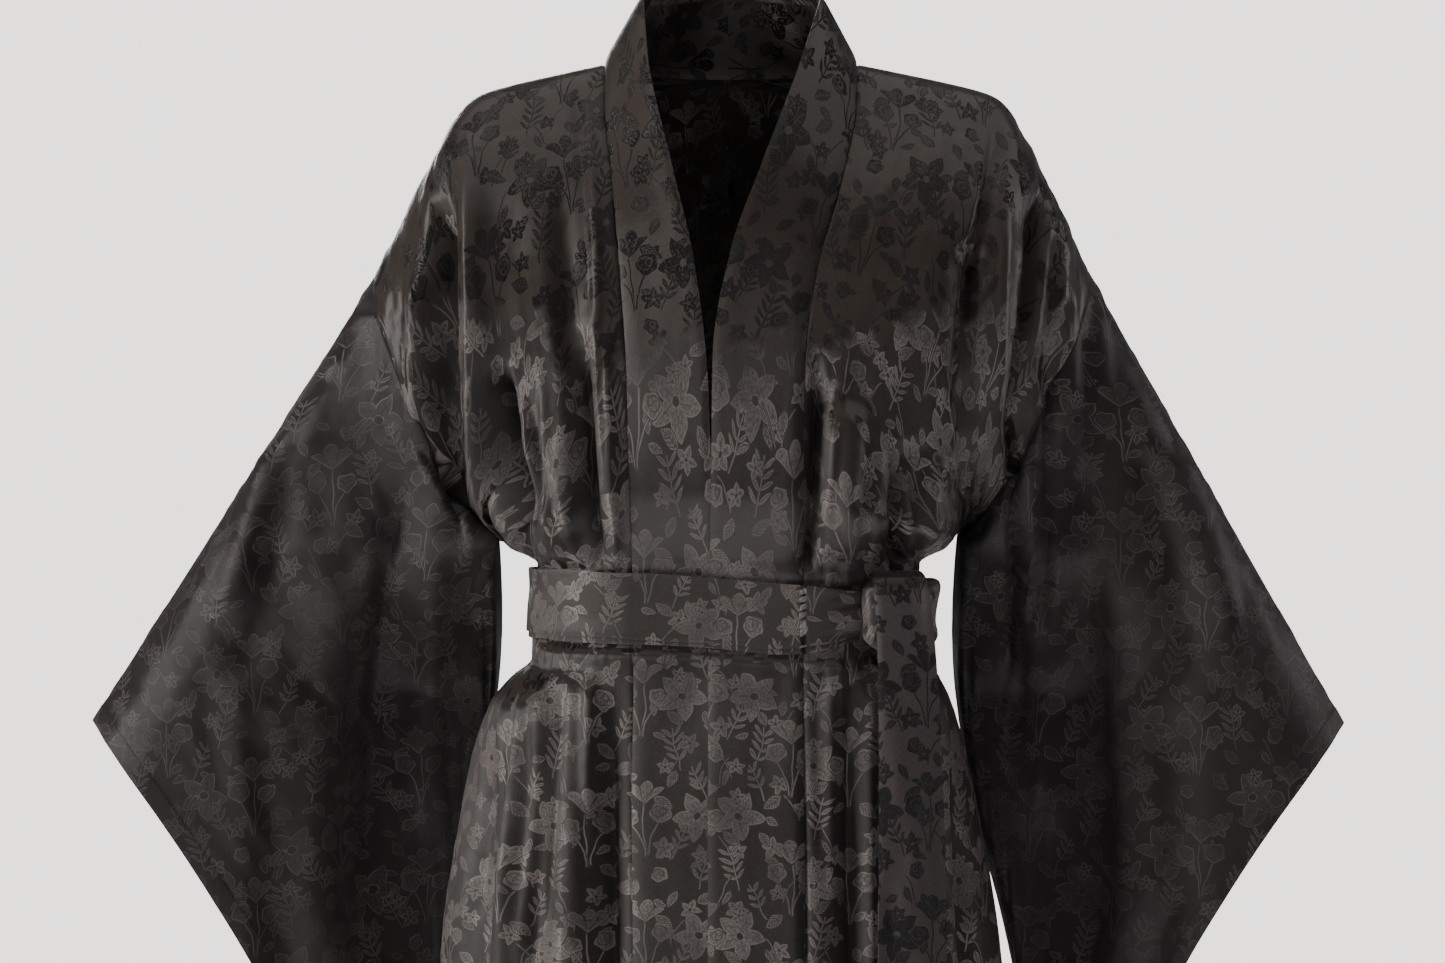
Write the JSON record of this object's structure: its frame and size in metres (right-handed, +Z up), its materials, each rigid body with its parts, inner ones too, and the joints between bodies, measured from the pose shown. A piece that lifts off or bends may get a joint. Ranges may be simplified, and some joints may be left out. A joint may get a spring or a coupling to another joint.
{
  "type": "kimono dress",
  "caption": "Long kimono robe dress with wide hanging sleeves, a wide band round the neck and down the front, and a tied sash at the waist; open neck, cuffs and hem.",
  "frame": {"origin": "midpoint of the shoulder line below the neck, where the wearer's shoulders hold the robe up", "axes": "+Z up, the front faces -Y, +X to the wearer's left"},
  "size_m": [0.9014, 0.2715, 1.3033],
  "materials": {
    "robe_satin": "black satin with a woven tone-on-tone flower pattern",
    "sash_satin": "the robe's own black figured satin"
  },
  "bodies": {
    "root": {"back_panel": "robe_satin", "front_panel_right": "robe_satin", "front_panel_left": "robe_satin", "sleeve_right": "robe_satin", "sleeve_left": "robe_satin", "neck_band_right": "robe_satin", "neck_band_left": "robe_satin", "belt_wrap_inner": "sash_satin", "belt_wrap_outer": "sash_satin", "belt_knot": "sash_satin", "belt_tail_front": "sash_satin", "belt_tail_back": "sash_satin"}
  },
  "joints": []
}
